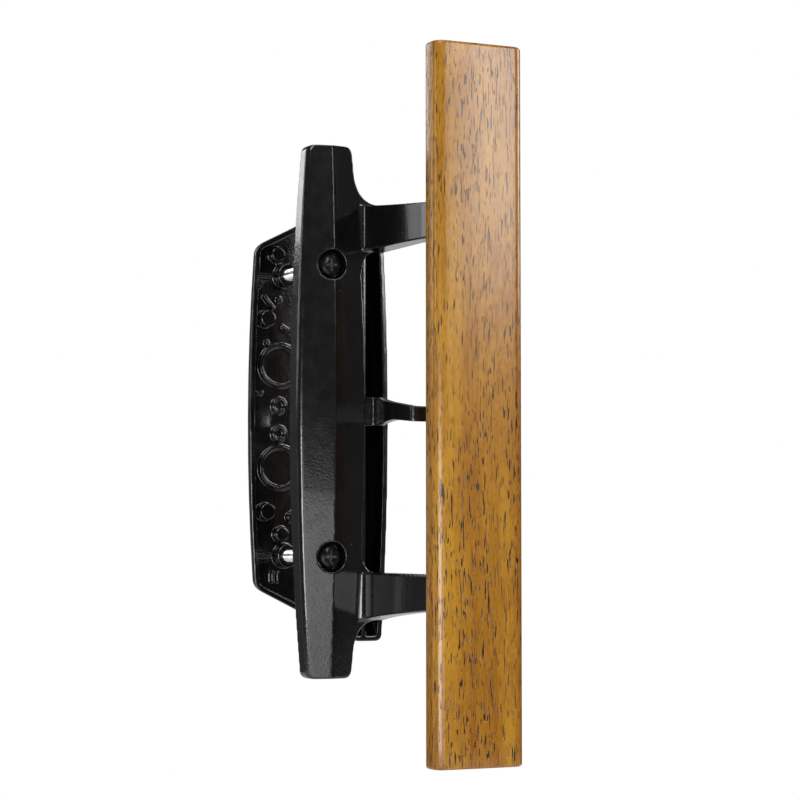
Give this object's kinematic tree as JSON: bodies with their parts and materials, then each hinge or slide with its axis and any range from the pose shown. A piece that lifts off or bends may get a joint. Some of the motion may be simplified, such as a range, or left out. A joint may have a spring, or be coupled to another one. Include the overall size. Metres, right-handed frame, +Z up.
{
  "type": "sliding patio door handle set",
  "caption": "Sliding patio door handle set: offset hardwood pull on a die-cast inside base with a thumb latch lever, and a hollow die-cast outside pull.",
  "frame": {"origin": "on the inside base's door face, on the screw line, at the middle of the flat land at the base's lower end, 87 mm below the middle of the two mounting screws", "axes": "+X from the screw line towards the wooden pull along the door, +Y through the door to the outside, +Z up"},
  "size_m": [0.0617, 0.1086, 0.238],
  "materials": {
    "black_enamel": "gloss black enamel on zinc die-casting",
    "lacquered_hardwood": "satin lacquer over open-pored hardwood",
    "black_screw": "black head on a bright zinc-plated shank",
    "zinc_plate": "bright zinc plate",
    "spring_steel": "oiled spring steel"
  },
  "bodies": {
    "handle": {"inside_base": "black_enamel", "wood_grip": "lacquered_hardwood", "outside_pull": "black_enamel", "mounting_screw_upper": "black_screw", "mounting_screw_lower": "black_screw", "grip_screw_upper": "zinc_plate", "grip_screw_lower": "zinc_plate", "bridge_screw_upper": "zinc_plate", "bridge_screw_lower": "zinc_plate", "wave_washer": "spring_steel", "retaining_bridge": "zinc_plate"},
    "latch": {"latch_lever": "black_enamel", "tailpiece": "zinc_plate", "tailpiece_pin": "spring_steel"}
  },
  "joints": [
    {"name": "latch_turn", "type": "hinge", "parent": "handle", "child": "latch", "pos_m": [0, 0, 0.087], "axis": [0, 1, 0], "range_deg": [-25, 25]}
  ]
}
